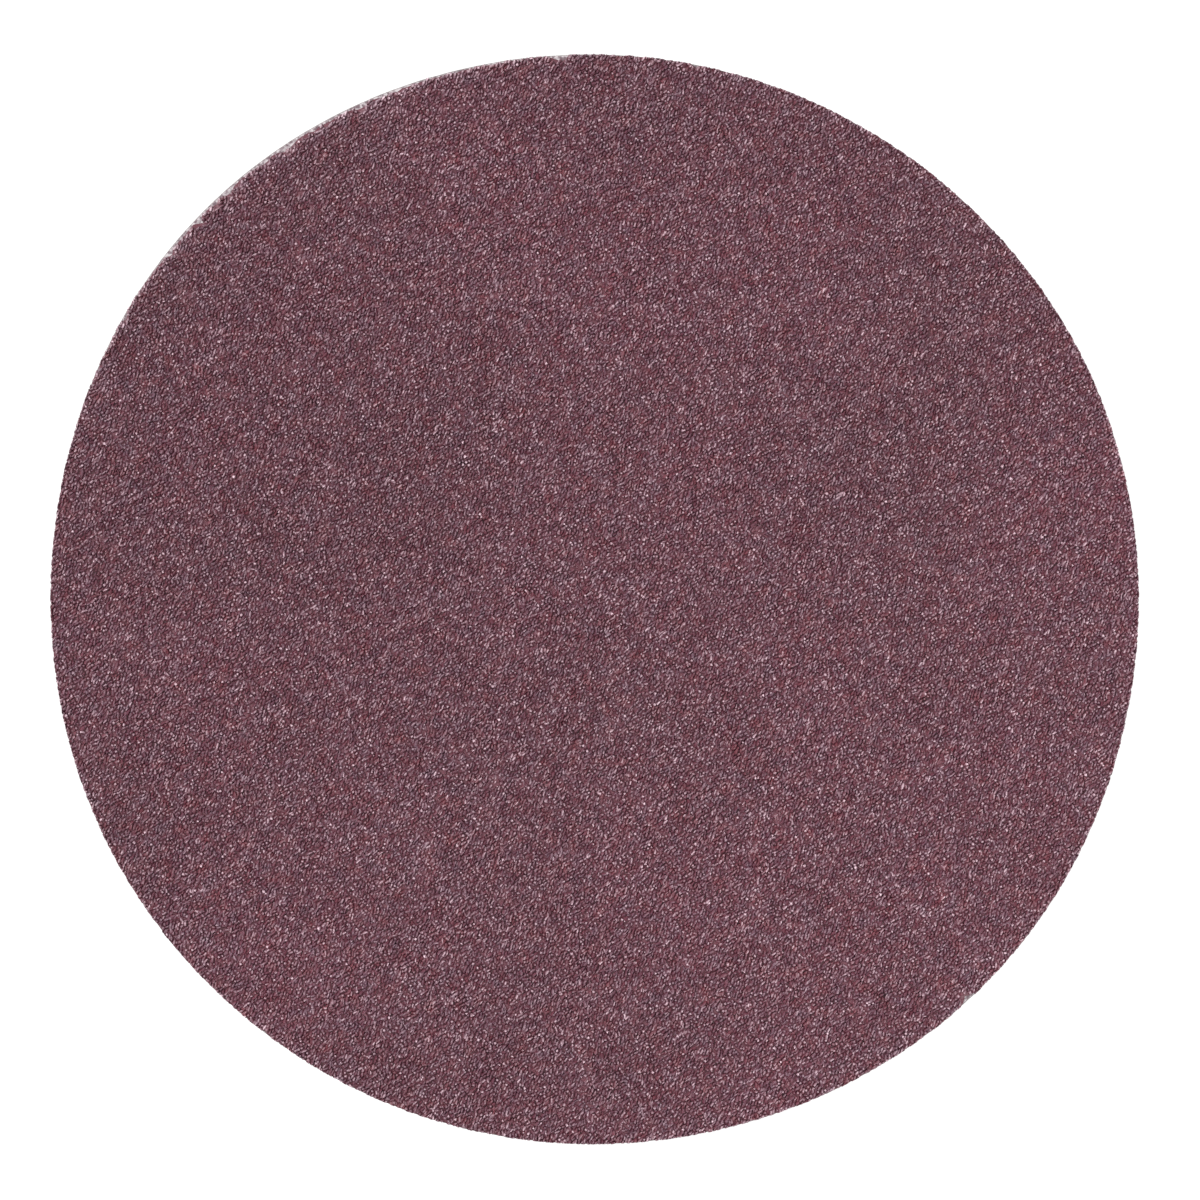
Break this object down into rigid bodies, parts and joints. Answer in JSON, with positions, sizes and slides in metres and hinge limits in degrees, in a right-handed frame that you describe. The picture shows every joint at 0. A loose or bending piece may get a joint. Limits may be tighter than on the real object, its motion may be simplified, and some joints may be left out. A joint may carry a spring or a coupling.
{
  "type": "quick-change sanding disc",
  "caption": "Round abrasive cloth disc, grain side up, with a moulded twist-lock button bonded to the middle of its back so that it screws into a rotary sander's pad holder.",
  "frame": {"origin": "on the spin axis, in the plane of the button's flat end, which the disc rests on", "axes": "+Z along the spin axis, out of the grain face; the thread is the same after half a turn, so +X is only where the lower end of one thread start begins"},
  "size_m": [0.05, 0.05, 0.0093],
  "materials": {
    "twist_button": "fine moulded satin nylon",
    "button_adhesive": "set hot-melt adhesive",
    "cloth_backing": "resin-filled twill cloth",
    "grain_coat": "closed coat of aluminium oxide grain under a wine-red resin"
  },
  "bodies": {
    "root": {"twist_button": "twist_button", "button_adhesive": "button_adhesive", "cloth_backing": "cloth_backing", "grain_coat": "grain_coat"}
  },
  "joints": []
}
